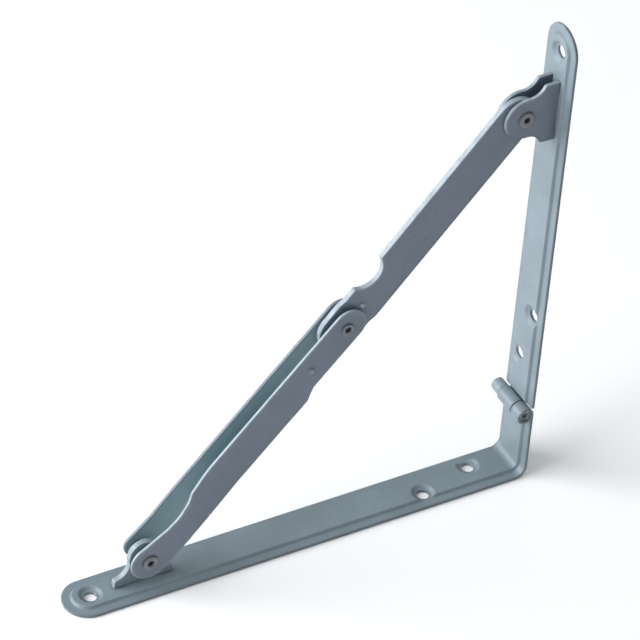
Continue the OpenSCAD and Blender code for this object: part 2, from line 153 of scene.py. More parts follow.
def hole(centre, radius):
    """A round hole's loop, clockwise."""
    return arc(centre, radius, 360, 0, hole_step)[:-1]


# %% [markdown]
# Two questions are asked of each point: how far it lies from the nearest edge,
# and whether it lies on metal. The first is the distance to every side of every
# loop, taken for a few points at a time to save memory. The second counts the
# sides that lie straight to the point's right: an odd count means inside.

# %% Near an edge, and on the metal
points_at_once = 2000


def edge_distance(points, loops):
    """How far each point lies from the nearest edge of the blank."""
    best = np.full(len(points), np.inf)
    for loop in loops:
        side = np.roll(loop, -1, axis=0) - loop
        length2 = (side ** 2).sum(1)
        for first in range(0, len(points), points_at_once):
            chunk = slice(first, first + points_at_once)
            off = points[chunk, None, :] - loop
            share = np.clip((off * side).sum(2) / length2, 0, 1)
            gap2 = ((off - share[..., None] * side) ** 2).sum(2)
            best[chunk] = np.minimum(best[chunk], np.sqrt(gap2.min(1)))
    return best


def is_inside(points, loops):
    """True where a point lies on the metal: inside the outline and in no hole."""
    odd = np.zeros(len(points), bool)
    for loop in loops:
        after = np.roll(loop, -1, axis=0)
        for (x0, y0), (x1, y1) in zip(loop, after):
            if y0 != y1:
                between = (points[:, 1] >= min(y0, y1)) & (points[:, 1] < max(y0, y1))
                cross = x0 + (points[:, 1] - y0) * (x1 - x0) / (y1 - y0)
                odd ^= between & (points[:, 0] < cross)
    return odd


# %% [markdown]
# A blank's points are its loops, a few rows that run just inside them, the points
# that a relief asks for, and a grid for the rest. Points that crowd each other
# are left out, because they make slivers. The triangulation keeps the loops as
# edges, so the triangles that fall in a hole can be dropped whole.

# %% The blank's triangles
grid_step = 0.7
crowd_gap = 0.3 * grid_step
relief_gap = 0.1
row_keep = 0.97
same_point = 1e-6


def inner_row(loop, depth, loops):
    """A row of points at one depth inside a loop, without those that cross over."""
    tangent = np.roll(loop, -1, axis=0) - np.roll(loop, 1, axis=0)
    tangent /= np.linalg.norm(tangent, axis=1)[:, None]
    row = loop + depth * np.column_stack([-tangent[:, 1], tangent[:, 0]])
    return row[edge_distance(row, loops) > row_keep * depth]


def thinned(groups, cell):
    """Keeps the first point in each small cell, so that no two crowd each other."""
    seen, kept = set(), []
    for points in groups:
        keys = [tuple(k) for k in np.round(points / cell).astype(int)]
        fresh = []
        for i, key in enumerate(keys):
            if key not in seen:
                seen.add(key)
                fresh.append(i)
        kept.append(points[fresh])
    return np.vstack(kept)


def blank(loops, rows, relief_points):
    """Points and triangles of a flat blank, with rows of points at these depths."""
    edge = np.vstack(loops)
    inner = [inner_row(loop, depth, loops) for depth in rows for loop in loops]
    relief = relief_points[is_inside(relief_points, loops)] if len(relief_points) else edge[:0]
    relief = relief[edge_distance(relief, loops) > rows[-1] + relief_gap] if len(relief) else relief
    low, high = edge.min(0), edge.max(0)
    grid = np.stack(np.meshgrid(np.arange(low[0], high[0], grid_step),
                                np.arange(low[1], high[1], grid_step)), -1).reshape(-1, 2)
    grid = grid[is_inside(grid, loops)]
    grid = grid[edge_distance(grid, loops) > rows[-1] + crowd_gap]
    fill = thinned([relief, grid], crowd_gap)
    points = np.vstack([edge] + inner + [fill])
    links, first = [], 0
    for loop in loops:
        count = len(loop)
        links += [(first + i, first + (i + 1) % count) for i in range(count)]
        first += count
    made = delaunay_2d_cdt([Vector(p) for p in points], links, [], 0, same_point)
    points = np.array([tuple(v) for v in made[0]])
    triangles = np.array(made[2])
    centres = points[triangles].mean(1)
    return points, triangles[is_inside(centres, loops)]


# %% [markdown]
# Every mesh is finished in one way. Its faces have to point outwards, which the
# sign of the volume inside them tells. Its normals are then weighted by the size
# of the faces, so that broad flats shade flat and only the rims shade round. A
# value may be kept for each point of a mesh, for the material to read later.

# %% Finishing a mesh
normal_weight = 60


def signed_volume(mesh):
    mesh.calc_loop_triangles()
    corners = np.array([[mesh.vertices[v].co for v in t.vertices] for t in mesh.loop_triangles])
    return np.einsum("ij,ij->i", corners[:, 0], np.cross(corners[:, 1], corners[:, 2])).sum() / 6


def finished(name, mesh):
    """Links a mesh as an object and turns its faces outwards."""
    mesh.validate()
    piece = bpy.data.objects.new(name, mesh)
    bpy.context.scene.collection.objects.link(piece)
    if signed_volume(mesh) < 0:
        mesh.flip_normals()
    even = piece.modifiers.new("even_normals", "WEIGHTED_NORMAL")
    even.weight = normal_weight
    print(name, len(mesh.polygons), "faces", round(abs(signed_volume(mesh)) / MM ** 3), "mm3")
    return piece


def keep_values(mesh, name, values):
    """Keeps one value for each point of the mesh."""
    kept = mesh.attributes.new(name, "FLOAT", "POINT")
    kept.data.foreach_set("value", values)


# %% [markdown]
# A blank becomes a sheet in three moves. Its upper and lower skins take the
# pressed relief, their rims are rounded where the shear has pulled the metal, and
# a function then says where each point of the flat sheet lies once it is bent.
# How near a point lies to an edge is kept on the mesh. The sheared edges take a
# paler tone, partly thin enamel and partly a painted highlight. The edges on the
# side that a shade function picks take a painted shade instead, and the inside of
# a channel takes a painted bounce light. The finish reads both from the mesh.

# %% From a blank to a sheet
rim_rows = np.array([0.15, 0.45, 1.0])
pale_run = 0.35
dark_run = 0.45


def flat(points):
    """No relief: both skins stay level."""
    return np.zeros(len(points)), np.zeros(len(points))


def sheet(name, loops, thickness, place, relief=flat, relief_points=(), rim=0.3, shade_side=None,
          inside=0.0):
    """A sheet-metal piece: loops in mm, place(points, height) gives its bent form."""
    loops = [loop if area(loop) * (1 if i == 0 else -1) > 0 else loop[::-1]
             for i, loop in enumerate(loops)]
    points, triangles = blank(loops, rim * rim_rows, np.array(relief_points))
    depth = edge_distance(points, loops)
    curve = np.sqrt(np.maximum(rim ** 2 - np.maximum(rim - depth, 0) ** 2, 0))
    drop = rim - curve
    upper, lower = relief(points)
    skins = np.vstack([place(points, upper + thickness - drop), place(points, lower + drop)])

    sides = np.vstack([triangles[:, [0, 1]], triangles[:, [1, 2]], triangles[:, [2, 0]]])
    known = {(a, b) for a, b in sides.tolist()}
    count = len(points)
    faces = triangles.tolist() + (triangles[:, ::-1] + count).tolist()
    faces += [(b, a, a + count, b + count) for a, b in known if (b, a) not in known]
    mesh = bpy.data.meshes.new(name)
    mesh.from_pydata((skins * MM).tolist(), [], faces)
    mesh.shade_smooth()
    # Painted light: edges on the shaded side lose the pale tone and take a painted shade, and
    # inside adds a painted bounce light to the upper skin.
    low = shade_side(points) if shade_side else np.zeros(count)
    painted_shade = -np.exp(-depth / dark_run) * low
    keep_values(mesh, "edge", np.tile(np.exp(-depth / pale_run) * (1 - low), 2))
    keep_values(mesh, "coat", np.concatenate([painted_shade + inside, painted_shade]))
    return finished(name, mesh)


# %% [markdown]
# The enamel is made of a few kinds of node, most of them used more than once: a
# noise that varies from place to place, a change of range, a mix of two colours,
# and a value that the mesh keeps. A class that holds one material's nodes says
# each kind once, and the finish below then reads as a list of what it does.

# %% Short ways to add nodes
class Nodes:
    """The nodes of one material. A mix node has its colours after its numbers and vectors."""

    colour_sockets = (6, 7)
    colour_result = 2

    def __init__(self, material):
        material.use_nodes = True
        self.nodes = material.node_tree.nodes
        self.link = material.node_tree.links.new
        self.shader = self.nodes["Principled BSDF"]
        self.where = self.nodes.new("ShaderNodeTexCoord").outputs["Object"]

    def noise(self, scale, detail):
        node = self.nodes.new("ShaderNodeTexNoise")
        node.inputs["Scale"].default_value = scale
        node.inputs["Detail"].default_value = detail
        self.link(self.where, node.inputs["Vector"])
        return node.outputs["Fac"]

    def kept(self, name):
        """A value that the mesh keeps for each of its points."""
        node = self.nodes.new("ShaderNodeAttribute")
        node.attribute_name = name
        return node.outputs["Fac"]

    def mapped(self, value, given, wanted):
        """Turns one range of a value into another, and stays within it."""
        node = self.nodes.new("ShaderNodeMapRange")
        for key, number in zip(("From Min", "From Max", "To Min", "To Max"), given + wanted):
            node.inputs[key].default_value = number
        self.link(value, node.inputs["Value"])
        return node.outputs["Result"]

    def mix(self, share, first, second):
        """Mixes two colours, each a constant or another node's result."""
        node = self.nodes.new("ShaderNodeMix")
        node.data_type = "RGBA"
        self.link(share, node.inputs["Factor"])
        for number, colour in zip(self.colour_sockets, (first, second)):
            if isinstance(colour, tuple):
                node.inputs[number].default_value = (*colour, 1)
            else:
                self.link(colour, node.inputs[number])
        return node.outputs[self.colour_result]

    def times(self, first, second):
        node = self.nodes.new("ShaderNodeMath")
        node.operation = "MULTIPLY"
        self.link(first, node.inputs[0])
        self.link(second, node.inputs[1])
        return node.outputs[0]


# %% [markdown]
# The enamel is one dipped coat over every piece, so one function makes all its
# tones. Its colour drifts a little from place to place and has a few dark specks,
# and the coat has a faint orange peel. The sheared edges take a paler tone,
# partly thin enamel and partly a painted highlight. Edges on the shaded side take
# a painted shade, and the inside of a channel may take a painted bounce light.
# Constant values sit on the shader's own sockets, and only what truly varies is
# linked.

# %% Enamel
drift_scale = 45
sheen_scale = 120
wear_scale = 260
peel_scale = 520
speck_scale = 700
peel_depth = 0.00006


def enamel(name, tone, edge_tone, bounce_tone=None, peel=0.35):
    """A coat with its own tone, a paler edge tone and a painted bounce light in a channel."""
    material = bpy.data.materials.new(name)
    make = Nodes(material)
    shader = make.shader
    shader.inputs["IOR"].default_value = 1.5
    shader.inputs["Coat Weight"].default_value = 0.15
    shader.inputs["Coat Roughness"].default_value = 0.3

    def darker(share):
        return tuple(c * share for c in tone)

    drifting = make.mapped(make.noise(drift_scale, detail=3), (0.35, 0.65), (0, 1))
    body = make.mix(drifting, darker(0.86), tone)
    specks = make.mapped(make.noise(speck_scale, detail=2), (0.62, 0.72), (0, 0.5))
    body = make.mix(specks, body, darker(0.7))
    # The pale edge tone is partly thin enamel and partly a painted highlight. A noise breaks it up,
    # as wear does.
    worn = make.mapped(make.noise(wear_scale, detail=3), (0.3, 0.6), (0.35, 0.9))
    thin_paint_and_highlight = make.times(make.kept("edge"), worn)
    # Painted light from the kept coat value: above zero it mixes in a lighter painted bounce light,
    # and below zero it darkens the tone to a painted shade.
    coat = make.kept("coat")
    body = make.mix(make.mapped(coat, (0, 1), (0, 1)), body, bounce_tone or tone)
    body = make.mix(make.mapped(coat, (-1, 0), (0.75, 0)), body, darker(0.3))
    make.link(make.mix(thin_paint_and_highlight, body, edge_tone), shader.inputs["Base Color"])
    sheen = make.mapped(make.noise(sheen_scale, detail=4), (0.3, 0.7), (0.42, 0.54))
    make.link(sheen, shader.inputs["Roughness"])
    bump = make.nodes.new("ShaderNodeBump")
    bump.inputs["Strength"].default_value = peel
    bump.inputs["Distance"].default_value = peel_depth
    make.link(make.noise(peel_scale, detail=2), bump.inputs["Height"])
    make.link(bump.outputs["Normal"], shader.inputs["Normal"])
    return material


# %% [markdown]
# The legs are a light blue-grey, the brace is bluer and darker, and the rivets are
# darker still. Each piece gets its coat and is tied to the body that it moves
# with and to the node that it stands for.

# %% The three tones
leg_enamel = enamel("leg_enamel", (0.185, 0.235, 0.265), (0.27, 0.32, 0.35))
# The brace's inside tone is a painted bounce light, lighter and greener than its own enamel.
brace_enamel = enamel("brace_enamel", (0.126, 0.160, 0.208), (0.30, 0.35, 0.385),
                      bounce_tone=(0.30, 0.43, 0.46))
rivet_enamel = enamel("rivet_enamel", (0.09, 0.10, 0.115), (0.19, 0.195, 0.20), peel=0.6)
print("nodes in each coat", [len(m.node_tree.nodes)
                             for m in (leg_enamel, brace_enamel, rivet_enamel)])


def fit(piece, body, material, slot, *nodes):
    """Gives a piece its finish and ties it to the body and the nodes it stands for."""
    piece.data.materials.append(material)
    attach(piece, body)
    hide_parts(*nodes)


# %% [markdown]
# Both legs are one pressed section: a flat flange all round and a raised panel
# that stiffens it. The relief is a function of how far a point lies from the
# leg's outline, so it follows the round end by itself. A dimple is where the
# panel stays down round a screw hole. The lower skin takes the same relief a
# little further in, as a die and its punch do, which keeps the wall's thickness.

# %% The legs' relief
leg_t = 1.2
flange_w = 3.3
panel_h = 1.2
panel_run = 0.9
step_wall = 0.9
hole_r = 2.5
dimple_floor_r = 2.9
dimple_r = 5.1
fade_run = 1.6
row_gap = 0.2
row_step = 0.5
rows_before = 0.3
rows_past = 0.4
print("panel", round(2 * (half_w - flange_w - panel_run), 1), "mm wide on a leg of", 2 * half_w)


def ramp(value):
    """Rises smoothly from 0 to 1 as the value does."""
    t = np.clip(value, 0, 1)
    return t * t * (3 - 2 * t)


def leg_relief(holes, fade_from):
    """Heights of a leg's two skins; s runs from the round end, and fades at fade_from."""
    def heights(points, inset):
        s, y = points.T
        outline = half_w - np.where(s < half_w, np.hypot(half_w - s, y), abs(y))
        lift = ramp((outline - flange_w - inset) / panel_run)
        for centre in holes:
            rho = np.hypot(*(points - centre).T)
            lift = lift * ramp((rho - dimple_floor_r - inset) / (dimple_r - dimple_floor_r))
        return panel_h * lift * ramp((fade_from - s - inset) / fade_run)
    return lambda points: (heights(points, 0), heights(points, step_wall))


def relief_rows(holes, length):
    """Points along the panel's step and round the dimples, for crisp relief."""
    rows = []
    last = flange_w + panel_run + step_wall + rows_past
    for depth in np.arange(flange_w - rows_before, last, row_gap):
        radius = half_w - depth
        s = np.arange(half_w, length, row_step)
        rows += [np.column_stack([s, np.full_like(s, side * radius)]) for side in (-1, 1)]
        rows.append(arc((half_w, 0), radius, 90, 270, row_step))
    for centre in holes:
        last = dimple_r + step_wall + rows_past
        for radius in np.arange(dimple_floor_r - row_gap, last, row_gap):
            rows.append(arc(centre, radius, 0, 360))
    return np.vstack(rows)


# %% [markdown]
# Bending works on a strip: s runs along it and w up from its outer face. Each
# leg is a chain of straight runs and arcs that always turn towards the inner
# face, and the last arc is the knuckle, rolled most of a turn round the pin.

# %% Bending a strip
bend_r = 5.5
knuckle_r = corner_x - hinge[0]
roll_turn = math.radians(300)
roll_l = roll_turn * (knuckle_r - leg_t / 2)
print("knuckle", round(knuckle_r, 2), "mm in radius, from", round(roll_l, 1), "mm of sheet")


def bent(start, heading, runs, side):
    """Where the points of a flat strip lie once it is bent; side says which way."""
    def place(points, w):
        s, y = points.T
        x, z = np.zeros_like(s), np.zeros_like(s)
        at, angle, begin = np.array(start, float), math.radians(heading), 0.0

        def normal(turned):
            return side * np.array([-np.sin(turned), np.cos(turned)])

        for number, (length, radius) in enumerate(runs):
            here = np.ones(len(s), bool)
            if number > 0:
                here &= s >= begin
            if number < len(runs) - 1:
                here &= s < begin + length
            u = s[here] - begin
            if radius is None:
                ahead = np.array([math.cos(angle), math.sin(angle)])
                spot = at[:, None] + ahead[:, None] * u + normal(angle)[:, None] * w[here]
                at = at + ahead * length
            else:
                centre = at + radius * normal(angle)
                neutral = radius - leg_t / 2
                spot = centre[:, None] - (radius - w[here]) * normal(angle + side * u / neutral)
                angle += side * length / neutral
                at = centre - radius * normal(angle)
            x[here], z[here] = spot
            begin += length
        return np.column_stack([x, y, z])
    return place


# %% [markdown]
# A leg's blank has a round end, three screw holes of which two are staggered,
# slots for the tabs of the plates that stand on it, and a narrower neck at its
# other end, which is rolled into a knuckle. The outline is put together from arcs
# and corners, because each of its sizes then has a name and can be changed alone.

# %% A leg's blank
near_knuckle_l = 6.0
wall_knuckle_l = 10.2
knuckle_gap = 0.3
split_y = -half_w + near_knuckle_l
end_hole_in = 11.5
hole_pitch = 24.0
hole_stagger = 3.2
tab_l = 5
slot_gap = 0.1
neck_corner = 0.4
plate_step = 0.35
leg_step = 0.45
# Painted shade on the legs' edges: strong on the near edge, weaker on the far one.
near_shade = 0.9
far_shade = 0.5


def leg_holes(length, first):
    """Centres of a leg's three screw holes, measured from its round end."""
    return [np.array(c) for c in ((end_hole_in, 0), (length - first - hole_pitch, -hole_stagger),
                                  (length - first, hole_stagger))]


def slot_loop(s, y, length, width):
    """An oblong with its corners eased."""
    corners = np.array([(-1, -1), (-1, 1), (1, 1), (1, -1)]) * (length / 2, width / 2)
    return softened(evenly(corners + (s, y), plate_step), 1)


def tab_slots(middle, foot, thickness, rows):
    """Slots for the tabs at both ends of each plate's foot."""
    return [slot_loop(middle + end * (foot - tab_l / 2), y, tab_l + slot_gap, thickness + slot_gap)
            for end in (-1, 1) for y in rows]


def neck_loop(reach, neck_s, low_y, high_y, far_s=None):
    """A leg's outline: the neck from low_y to high_y starts at neck_s, or far_s past high_y."""
    corner = neck_corner
    far_s = far_s or neck_s
    loop = [arc((half_w, 0), half_w, 90, 270), [(neck_s - corner, -half_w)]]
    if low_y > -half_w:
        loop += [arc((neck_s - corner, -half_w + corner), corner, -90, 0),
                 [(neck_s, low_y - corner)],
                 arc((neck_s + corner, low_y - corner), corner, 180, 90)]
    loop += [[(reach, low_y), (reach, high_y)],
             arc((far_s + corner, high_y + corner), corner, 270, 180),
             arc((far_s - corner, half_w - corner), corner, 0, 90)]
    return softened(evenly(np.vstack(loop), leg_step), 1)


def leg_shade_side(points):
    """Painted shade on the leg's edges, strongest on the near edge."""
    return np.where(points[:, 1] < 0, near_shade, far_shade)


# %% [markdown]
# The shelf leg runs flat from its round end, turns up at the corner, and ends in
# the near knuckle, which takes less than a third of the leg's width. Two slots
# take the feet of the lug.

# %% Shelf leg
shelf_hole_in = 19.5
shelf_neck_clear = 4.15
lug_low, lug_high = box_mm("shelf_lug")
lug_s = pivot_a[0] - end_x
lug_foot = (lug_high[0] - lug_low[0]) / 2
lug_t = lug_high[1] - lug_low[1]
shelf_l = corner_x - end_x
flat_l = shelf_l - bend_r
corner_l = math.pi / 2 * (bend_r - leg_t / 2)
upright_l = hinge[1] - bend_r
shelf_holes = leg_holes(shelf_l, shelf_hole_in)
shelf_neck_s = flat_l + corner_l + (hinge[1] - shelf_neck_clear) - bend_r
shelf_reach = flat_l + corner_l + upright_l + roll_l
shelf_loops = [neck_loop(shelf_reach, shelf_neck_s, -half_w, split_y)]
shelf_loops += [hole(c, hole_r) for c in shelf_holes]
shelf_loops += tab_slots(lug_s, lug_foot, lug_t, (0,))
shelf_runs = [(flat_l, None), (corner_l, bend_r), (upright_l, None), (roll_l, knuckle_r)]
shelf_leg = sheet(
    "shelf_leg_pressed", shelf_loops, leg_t, bent((end_x, 0), 0, shelf_runs, 1),
    leg_relief(shelf_holes, shelf_neck_s), relief_rows(shelf_holes, shelf_neck_s), shade_side=leg_shade_side)
fit(shelf_leg, "shelf", leg_enamel, "leg_paint", "shelf_leg")

# %% [markdown]
# The wall leg is cut in the same way, a little longer, and it is drawn from its
# round end downwards. Its knuckle is rolled the other way and sits beside the
# first one on the same pin. Four slots take the feet of the clevis.

# %% Wall leg
wall_hole_in = 22.5
wall_neck_clear = 2.95
pin_side_clear = 2.3
ear_t = 1.5
ear_foot = 13.5
clevis_low, clevis_high = box_mm("wall_clevis")
ear_gap = clevis_high[1] - clevis_low[1] - 2 * ear_t
ear_y = (ear_gap + ear_t) / 2
clevis_s = top_z - pivot_b[1]
wall_holes = leg_holes(top_z, hinge[1] + wall_hole_in)
wall_neck_s = top_z - (hinge[1] + wall_neck_clear)
wall_reach = top_z - hinge[1] + roll_l
wall_loops = [neck_loop(wall_reach, wall_neck_s, split_y + knuckle_gap,
                        split_y + knuckle_gap + wall_knuckle_l,
                        top_z - (hinge[1] + pin_side_clear))]
wall_loops += [hole(c, hole_r) for c in wall_holes]
wall_loops += tab_slots(clevis_s, ear_foot, ear_t, (-ear_y, ear_y))
wall_runs = [(top_z - hinge[1], None), (roll_l, knuckle_r)]
wall_leg = sheet(
    "wall_leg_pressed", wall_loops, leg_t, bent((corner_x, top_z), -90, wall_runs, -1),
    leg_relief(wall_holes, wall_neck_s), relief_rows(wall_holes, wall_neck_s), shade_side=leg_shade_side)
fit(wall_leg, "wall", leg_enamel, "leg_paint", "wall_leg")


# %% [markdown]
# The lug, the ears, the bar and the channel's walls have outlines of their own,
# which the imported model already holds. Tracing the flat face of a node gives its
# outline and its holes as loops, which saves drawing them again and keeps every
# bore where the working piece has it.

# %% Tracing the outline of a node's face
NEAR = np.array([0, -1, 0])
facing_least = 0.7
face_slack = 0.1
outline_softness = 2


def traced(node, towards, keep, flatten):
    """Loops round the faces of a node that look one way: the outline, then its holes."""
    mesh = frame["nodes"][node].data
    points = np.array([v.co for v in mesh.vertices]) / MM
    keys = [tuple(k) for k in np.round(points, 4).tolist()]
    merged = {key: points[i] for i, key in enumerate(keys)}
    sides = set()
    for polygon in mesh.polygons:
        looks = np.array(polygon.normal) @ towards > facing_least
        if looks and keep(np.array(polygon.center) / MM):
            corners = [keys[v] for v in polygon.vertices]
            sides |= set(zip(corners, corners[1:] + corners[:1]))
    after = {a: b for a, b in sides if (b, a) not in sides}
    loops = []
    while after:
        first = next(iter(after))
        loop, at = [], first
        while at in after:
            loop.append(merged[at])
            at = after.pop(at)
        loops.append(flatten(np.array(loop)))
    loops.sort(key=lambda loop: -abs(area(loop)))
    print(node, "traced", [len(loop) for loop in loops])
    return loops


def eased(loops):
    """The outline with its corners rounded; the round holes stay as they are."""
    outline, *holes = [evenly(loop, plate_step) for loop in loops]
    return [softened(outline, outline_softness)] + holes


# %% [markdown]
# The lug is a single thick plate with a round nose, and its two feet go down
# through the shelf leg. A plate needs no relief and no bend, so its traced outline
# is only given a thickness and its rims.

# %% Lug
def upright(near_y):
    """Places a plate that stands in the X-Z plane, its near face at near_y."""
    return lambda points, w: np.column_stack([points[:, 0], near_y + w, points[:, 1]])


def plate_loops(node, near_y):
    """The outline and holes of a plate's near face, as x and z."""
    return eased(traced(node, NEAR, lambda c: c[1] < near_y + face_slack, lambda p: p[:, [0, 2]]))


lug = sheet("lug_plate", plate_loops("shelf_lug", lug_low[1]), lug_t, upright(lug_low[1]))
fit(lug, "shelf", leg_enamel, "leg_paint", "shelf_lug")

# %% [markdown]
# The clevis is two thinner ears with a strap between them, flat on the wall leg.
# The photograph doesn't show the strap, so it is kept plain. Both ears come from
# one outline, and the three plates are joined, because they are one pressing.

# %% Clevis
# Painted shade on the edges of the ears' lower half.
ear_shade_from = pivot_b[1] - 3
ear_shade_run = 4
panel_x = corner_x - leg_t - panel_h
strap_l = 15.0
strap_z = pivot_b[1] - 1
strap_in = 0.4


def joined(name, pieces):
    """Makes one object of several."""
    with bpy.context.temp_override(active_object=pieces[0], selected_editable_objects=pieces,
                                   object=pieces[0], selected_objects=pieces):
        bpy.ops.object.join()
    pieces[0].name = name
    return pieces[0]


def ear_shade_side(points):
    """Painted shade on the edges of the ears' lower half."""
    return ramp((ear_shade_from - points[:, 1]) / ear_shade_run)


def strap_place(points, w):
    """Lays the strap on the wall leg's panel, its length upwards."""
    return np.column_stack([panel_x - w, points[:, 1], points[:, 0]])


ear_loops = plate_loops("wall_clevis", clevis_low[1])
ears = [sheet(f"ear_{i}", ear_loops, ear_t, upright(near_y), shade_side=ear_shade_side)
        for i, near_y in enumerate((clevis_low[1], clevis_high[1] - ear_t))]
strap = sheet("strap", [slot_loop(strap_z, 0, strap_l, ear_gap + strap_in)], ear_t, strap_place)
clevis = joined("clevis_ears", ears + [strap])
fit(clevis, "wall", brace_enamel, "brace_paint", "wall_clevis")


# %% [markdown]
# The flat bar is traced in its own frame, with s along the brace from the middle
# pivot. Past the middle pivot it steps sideways, so that it meets the near ear. A
# small nib beside the step stops it against the channel's round end. The nib is
# made further on, with the other round parts, and then joins the bar's mesh,
# because it is an upset of the bar's own metal.

# %% Flat bar
bar_t = 2.4
bar_rim = 0.35
bar_step = 0.8
bar_step_at = 5.0
bar_step_run = 4.4
# Painted shade along the bar's lower edge.
bar_shade_run = 5
bore_area_least = 4


def in_brace(origin):
    """Turns points of the X-Z plane into s along the brace and n outwards."""
    return lambda p: np.column_stack([(p[:, [0, 2]] - origin) @ along,
                                      (p[:, [0, 2]] - origin) @ outward])


def bar_place(points, w):
    """Stands the bar in the brace, with its step to the side."""
    s, n = points.T
    x, z = pivot_m[:, None] + along[:, None] * s + outward[:, None] * n
    aside = -bar_step * ramp((s - bar_step_at) / bar_step_run)
    return np.column_stack([x, aside - bar_t / 2 + w, z])


def bar_shade_side(points):
    """Painted shade along the bar's lower edge."""
    return ramp(-points[:, 1] / bar_shade_run)


bar_loops = traced("upper_link", NEAR, lambda c: True, in_brace(pivot_m))
bar_loops = eased([loop for loop in bar_loops if abs(area(loop)) > bore_area_least])
bar = sheet("flat_bar", bar_loops, bar_t, bar_place, rim=bar_rim, shade_side=bar_shade_side)


# %% [markdown]
# The channel is one sheet too. Its blank has the form of an H: two long walls,
# and a web between them that stops short of both ends, so that the lug, the bar
# and the rivets have room. The walls spread apart towards the shelf end, and the
# web and its two bends follow them and rise a little there. Past the web's ends
# the walls' feet keep no more than the outer half of the bend.

# %% The channel's sizes
channel_t = 1.2
narrow_y = 4.3
wide_y = box_mm("lower_link")[1][1]
fold_r = 1.4
fold_l = math.pi / 2 * (fold_r - channel_t / 2)
web_low = -10.7
web_half = narrow_y - fold_r
web_edge = web_half + fold_l
foot_edge = web_half + fold_l / 2
web_from_m = 42.0
web_far = lower_l - web_from_m
flare_at = 28.0
flare_run = 18.0
flare_lift = 1.5
lift_before = 16
lift_run = 12
lift_band = 3
print("web from", flare_at, "to", round(web_far, 1), "mm, bend", round(fold_l, 2), "mm of sheet")


def blank_v(z):
    """Turns height above the brace's line into distance from the blank's middle."""
    return z + web_edge - web_low - fold_r


def lifted(s):
    """How far the bends at the walls' feet rise where the walls spread."""
    rise = ramp((s - flare_at + lift_before) / lift_run)
    return flare_lift * rise * (1 - ramp((s - flare_at) / flare_run))


# %% [markdown]
# Each wall is traced from its own side of the model, because their round ends
# differ. In the blank a wall's height becomes distance from the middle line. Both
# feet are cut back at the two ends, and the far wall's top edge is a little lower
# at the shelf end. The two walls and the web between them are then one loop.

# %% Channel blank
far_crest = [(0, 5.6), (4, 5.2), (13, 4.6), (21, 4.9), (31, 5.2), (40, 6.6), (46, 7.2)]
start_cut = 1.3
step_h = 2.5
step_at = lower_l - 28.0
step_before = 5
step_past = 1
foot_band = 2
wall_area_least = 2
channel_step = 0.4


def wall_to_blank(points):
    """Lays a wall flat: s along the brace, then distance from the blank's middle."""
    s, z = (points[:, [0, 2]] - pivot_a) @ along, (points[:, [0, 2]] - pivot_a) @ outward
    return np.column_stack([s, blank_v(z)])


def cut_back(s):
    """How far the walls' feet are cut back: near the shelf pivot, and at the far step."""
    start = np.where(s < flare_at, start_cut * (1 - lifted(s) / flare_lift), 0)
    return start + np.interp(s, (step_at - step_before, step_at + step_past), (0, step_h))


def near_shape(outline):
    """The near wall, its foot cut back."""
    s, v = outline.T
    return np.column_stack([s, np.maximum(v, foot_edge + cut_back(s))])


def far_shape(outline):
    """The far wall, its foot cut back and its top edge lower at the shelf end."""
    s, v = near_shape(outline).T
    crest = blank_v(np.interp(s, *zip(*far_crest)))
    top = (v > web_edge - web_low) & (s > 0) & (s < far_crest[-1][0])
    return np.column_stack([s, np.where(top, crest, v)])


def wall_half(towards, shape):
    """One wall of the blank, from the web's far edge round to its near edge, and its bores."""
    loops = traced("lower_link", towards, lambda c: c @ towards > narrow_y - face_slack,
                   wall_to_blank)
    outline, *bores = [evenly(loop, plate_step) for loop in loops
                       if abs(area(loop)) > wall_area_least]
    outline = softened(shape(outline if area(outline) > 0 else outline[::-1]), outline_softness)
    outline = np.roll(outline, -outline[:, 1].argmax(), axis=0)
    s, v = outline.T
    gone = np.flatnonzero((v < web_edge + foot_band) & (s > flare_at) & (s < web_far))
    run = [[(web_far, foot_edge)], outline[gone[-1] + 1:],
           outline[:gone[0]], [(flare_at, foot_edge)]]
    return np.vstack(run), bores


far_half, far_bores = wall_half(-NEAR, far_shape)
near_half, near_bores = wall_half(NEAR, near_shape)
channel_loops = [evenly(np.vstack([far_half, near_half[::-1] * (1, -1)]), channel_step)]
channel_loops += far_bores + [bore * (1, -1) for bore in near_bores]


# %% [markdown]
# Folding reads each point's distance from the middle of the blank. As far as the
# web reaches, the point stays level, over the bend it turns through a right
# angle, and beyond that it goes straight up. The same rule widens the web where
# the walls spread, so that nothing has to be cut or joined.

# %% Channel, folded
# Painted light on the channel: painted shade on the edges by the bends and along the far wall, and
# a painted bounce light on the inside.
bend_shade_past = 1
bend_shade_run = 2
far_wall_shade = 0.8
bounce_share = 0.8


def channel_place(points, w):
    """Folds the blank: web, bend and wall by the distance from its middle."""
    s, v = points.T
    q, side = abs(v), np.where(v < 0, -1, 1)
    half = wide_y + (narrow_y - wide_y) * ramp((s - flare_at) / flare_run)
    turn = np.clip((q - web_half) / fold_l, 0, 1) * math.pi / 2
    y = (half - fold_r + (fold_r - w) * np.sin(turn)) * np.minimum(q / web_half, 1)
    z = web_low + fold_r - (fold_r - w) * np.cos(turn)
    low_part = ramp((web_edge + lift_band - q) / lift_band)
    z = z + np.maximum(q - web_edge, 0) + lifted(s) * low_part
    x, up = pivot_a[:, None] + along[:, None] * s + outward[:, None] * z
    return np.column_stack([x, side * y, up])


def channel_shade_side(points):
    """Painted shade in the bends, along the walls' feet and on the far wall's edge."""
    bends = ramp((web_edge + bend_shade_past - abs(points[:, 1])) / bend_shade_run)
    return np.maximum(bends, far_wall_shade * (points[:, 1] > 0))


channel = sheet("channel_sheet", channel_loops, channel_t, channel_place, shade_side=channel_shade_side,
                inside=bounce_share)
fit(channel, "channel", brace_enamel, "brace_paint", "lower_link")


